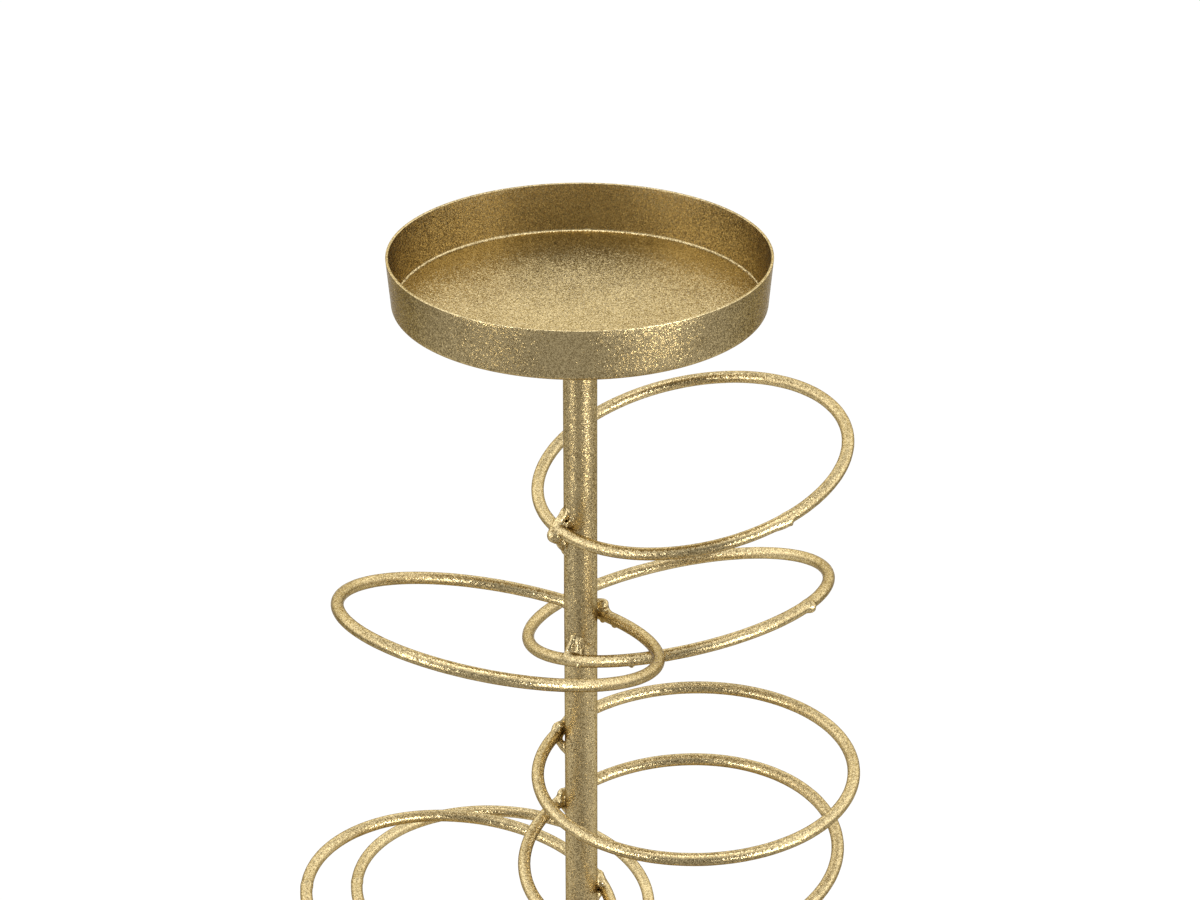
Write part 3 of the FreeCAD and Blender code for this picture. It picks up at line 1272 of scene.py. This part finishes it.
@dataclass
class Studio:
    """
    A white table and backdrop in a dim room, with three soft lights. Azimuths turn
    from the camera's side to its right, and distances are metres.
    """

    # The photograph's camera: where the middle of the tray's underside shows in a
    # frame of 1200 by 900 pixels, how far off it is, and how long the lens is
    frame_width_px: float = 1200
    frame_height_px: float = 900
    tray_across_px: float = 579.84
    tray_down_px: float = 303.22
    tray_depth: float = 0.9469
    focal_px: float = 3326
    elevation_deg: float = 25.83
    sensor_mm: float = 36
    # Light of the room: on the camera's side, to both sides, behind and overhead
    room: float = 0.24
    flanks: float = 1.8
    backdrop: float = 1.72
    ceiling: float = 1.05
    ceiling_behind: float = 0.8
    # Each one sets in softly. How far a direction leans sideways, back or up where the
    # change starts, and where it is full:
    flanks_fade: tuple[float, float] = (0.4, 0.9)
    backdrop_fade: tuple[float, float] = (0.1, 0.6)
    ceiling_fade: tuple[float, float] = (0.5, 0.8)
    ceiling_behind_fade: tuple[float, float] = (0.0, 0.3)
    # The paper is white. To the camera and to reflections most of it is a glow. Near the object the
    # rest is real paper, which takes the object's shadow, and farther off it is glow alone.
    floor_side: float = 8.0
    floor_white: str = "#F2F2F2"
    floor_lit: float = 1.03
    floor_own_light: float = 0.85
    own_light_fade: tuple[float, float] = (0.3, 0.8)
    # A painted half shade, slightly warm, dims the glow in front of the object and beside it, which
    # gives the metal its dark tones in reflection. A lane of full glow, wider to the back, runs behind
    # the object.
    floor_painted_shade: float = 0.25
    painted_shade_tint: str = "#FFF8EC"
    shade_fade: tuple[float, float] = (1.8, 0.7)
    behind_fade: tuple[float, float] = (-0.2, 0.12)
    lane_fade: tuple[float, float] = (0.5, 0.2)
    lane_spread: float = 0.25
    # The first two stand low, so that the tray's wall hides them from its inside. They
    # draw the streaks on its outer wall, the stem and the wires.
    lights: tuple[Softbox, ...] = (
        Softbox("key_softbox", 43, -8, 1.0, 0.42, 0.26, 5.0),
        Softbox("fill_softbox", -50, -8, 1.0, 0.2, 0.26, 2.3),
        Softbox("top_softbox", 0, 84, 1.2, 1.0, 0.4, 3.6),
    )

    def build(self) -> None:
        """Sets up the camera, the lights, the room and the floor."""
        low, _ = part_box("candle_tray")
        anchor = Vector((0, 0, low.z))
        self.place_camera(anchor)
        for light in self.lights:
            light.build(anchor)
        self.light_room()
        self.lay_floor()
        bpy.context.scene.view_settings.view_transform = "Standard"

    def place_camera(self, anchor: Vector) -> None:
        """
        Puts the camera where the photograph's was.

        Args:
            anchor: The middle of the tray's underside.
        """
        elevation = math.radians(self.elevation_deg)
        right = Vector((1, 0, 0))
        down = Vector((0, -math.sin(elevation), -math.cos(elevation)))
        ahead = Vector((0, math.cos(elevation), -math.sin(elevation)))
        metres_per_px = self.tray_depth / self.focal_px
        across = (self.tray_across_px - self.frame_width_px / 2) * metres_per_px
        under = (self.tray_down_px - self.frame_height_px / 2) * metres_per_px
        data = bpy.data.cameras.new("camera")
        data.sensor_width = self.sensor_mm
        data.lens = self.sensor_mm * self.focal_px / self.frame_width_px
        camera = bpy.data.objects.new("camera", data)
        place = anchor - ahead * self.tray_depth - right * across - down * under
        turned = Matrix((right, -down, -ahead)).transposed().to_4x4()
        camera.matrix_world = Matrix.Translation(place) @ turned
        bpy.context.scene.collection.objects.link(camera)
        bpy.context.scene.camera = camera

    def light_room(self) -> None:
        """
        Lights the room: dim on the camera's side, light to both sides, with a soft
        ceiling, and the white backdrop behind the object.
        """
        world = bpy.data.worlds.new("studio")
        world.use_nodes = True
        bpy.context.scene.world = world
        tree = world.node_tree
        tree.nodes.clear()
        direction = add_node(tree, "TexCoord").outputs["Generated"]
        part = add_node(tree, "SeparateXYZ", links={"Vector": direction})
        sideways, backwards, up = (part.outputs[axis] for axis in "XYZ")
        aside = add_node(tree, "Math", {"operation": "ABSOLUTE"}, {0: sideways})
        at_flank, at_backdrop, overhead, overhead_behind = (
            add_node(
                tree, "MapRange", SOFT | {"From Min": start, "From Max": full}, {"Value": source}
            ).outputs[0]
            for source, (start, full) in (
                (aside.outputs[0], self.flanks_fade),
                (backwards, self.backdrop_fade),
                (up, self.ceiling_fade),
                (backwards, self.ceiling_behind_fade),
            )
        )
        sides = add_node(tree, "Mix", {2: self.room, 3: self.flanks}, {0: at_flank})
        walls = add_node(tree, "Mix", {3: self.backdrop}, {0: at_backdrop, 2: sides.outputs[0]})
        above = {2: self.ceiling, 3: self.ceiling_behind}
        ceiling = add_node(tree, "Mix", above, {0: overhead_behind})
        parts = {0: overhead, 2: walls.outputs[0], 3: ceiling.outputs[0]}
        level = add_node(tree, "Mix", links=parts).outputs[0]
        shine = add_node(tree, "Background", {"Color": linear("#FFFFFF")}, {"Strength": level})
        add_node(tree, "OutputWorld", links={"Surface": shine.outputs["Background"]})

    def shade(self, tree: Tree, place: Socket, away: Socket) -> Socket:
        """
        How far the paper lies in the painted half shade round the object: fully in front of it and
        beside it, and not in the lane of full glow behind it or far off.

        Args:
            tree: The floor's tree.
            place: The place on the floor, in metres.
            away: How far that is from the object.

        Returns:
            The share of shade.
        """
        part = add_node(tree, "SeparateXYZ", links={"Vector": place})
        backwards = part.outputs["Y"]
        aside = add_node(tree, "Math", {"operation": "ABSOLUTE"}, {0: part.outputs["X"]})
        spread = {"operation": "MULTIPLY_ADD", 1: -self.lane_spread}
        off_lane = add_node(tree, "Math", spread, {0: backwards, 2: aside.outputs[0]})
        behind, lane, near = (
            add_node(
                tree, "MapRange", SOFT | {"From Min": start, "From Max": full}, {"Value": source}
            ).outputs[0]
            for source, (start, full) in (
                (backwards, self.behind_fade),
                (off_lane.outputs[0], self.lane_fade),
                (away, self.shade_fade),
            )
        )
        lit = add_node(tree, "Math", {"operation": "MULTIPLY"}, {0: behind, 1: lane})
        dark = add_node(tree, "Math", {"operation": "SUBTRACT", 0: 1.0}, {1: lit.outputs[0]})
        share = add_node(tree, "Math", {"operation": "MULTIPLY"}, {0: dark.outputs[0], 1: near})
        return share.outputs[0]

    def lay_floor(self) -> None:
        """
        Lays the white paper. The camera and the metal see it as a white glow, dimmed by a painted half
        shade round the object, with the object's shadow near it. It lights the object as plain paper
        does.
        """
        half = self.floor_side / 2
        corners = [(-half, -half, 0), (half, -half, 0), (half, half, 0), (-half, half, 0)]
        mesh = bpy.data.meshes.new("floor")
        mesh.from_pydata(corners, [], [(0, 1, 2, 3)])
        floor = bpy.data.objects.new("floor", mesh)
        bpy.context.scene.collection.objects.link(floor)
        material, tree = new_material("white_paper_floor")
        paper = add_node(tree, "BsdfDiffuse", {"Color": linear(self.floor_white)})
        place = add_node(tree, "TexCoord").outputs["Object"]
        length = add_node(tree, "VectorMath", {"operation": "LENGTH"}, {0: place})
        away = length.outputs["Value"]
        # Painted half shade: it dims and warms the glow that the camera and the metal see
        shaded = self.shade(tree, place, away)
        strength = add_node(tree, "Mix", {2: self.floor_lit, 3: self.floor_painted_shade}, {0: shaded})
        tints = {"data_type": "RGBA", 6: linear("#FFFFFF"), 7: linear(self.painted_shade_tint)}
        warmth = add_node(tree, "Mix", tints, {0: shaded})
        glow = add_node(
            tree, "Emission", links={"Color": warmth.outputs[2], "Strength": strength.outputs[0]}
        )
        rays = add_node(tree, "LightPath").outputs
        seen = rays["Is Camera Ray"]
        for ray in ("Is Glossy Ray", "Is Transmission Ray"):
            pair = {0: seen, 1: rays[ray]}
            seen = add_node(tree, "Math", {"operation": "MAXIMUM"}, pair).outputs[0]
        start, full = self.own_light_fade
        fade = SOFT | {"From Min": start, "From Max": full, "To Min": self.floor_own_light}
        own = add_node(tree, "MapRange", fade, {"Value": away}).outputs[0]
        share = add_node(tree, "Math", {"operation": "MULTIPLY"}, {0: seen, 1: own}).outputs[0]
        both = add_node(tree, "MixShader", links={0: share, 1: paper.outputs[0], 2: glow.outputs[0]})
        add_node(tree, "OutputMaterial", links={"Surface": both.outputs[0]})
        mesh.materials.append(material)


# The whole


def main() -> None:
    """Sets up the studio and builds the candle holder from the top down."""
    logging.basicConfig(level=logging.INFO, format="%(name)s: %(message)s")
    Studio().build()
    lacquer, felt = FlakeLacquer().material(), PressedFelt().material()
    stem = Stem(lacquer)
    CandleTray(lacquer).build()
    stem.build()
    for node, facing, seed in (("tray_weld", Facing.UP, 41), ("base_weld", Facing.DOWN, 42)):
        FilletWeld(lacquer, node, facing, seed, stem.radius).build()
    RingStack(lacquer, stem).build()
    Base(lacquer, felt).build()


if __name__ == "__main__":
    main()
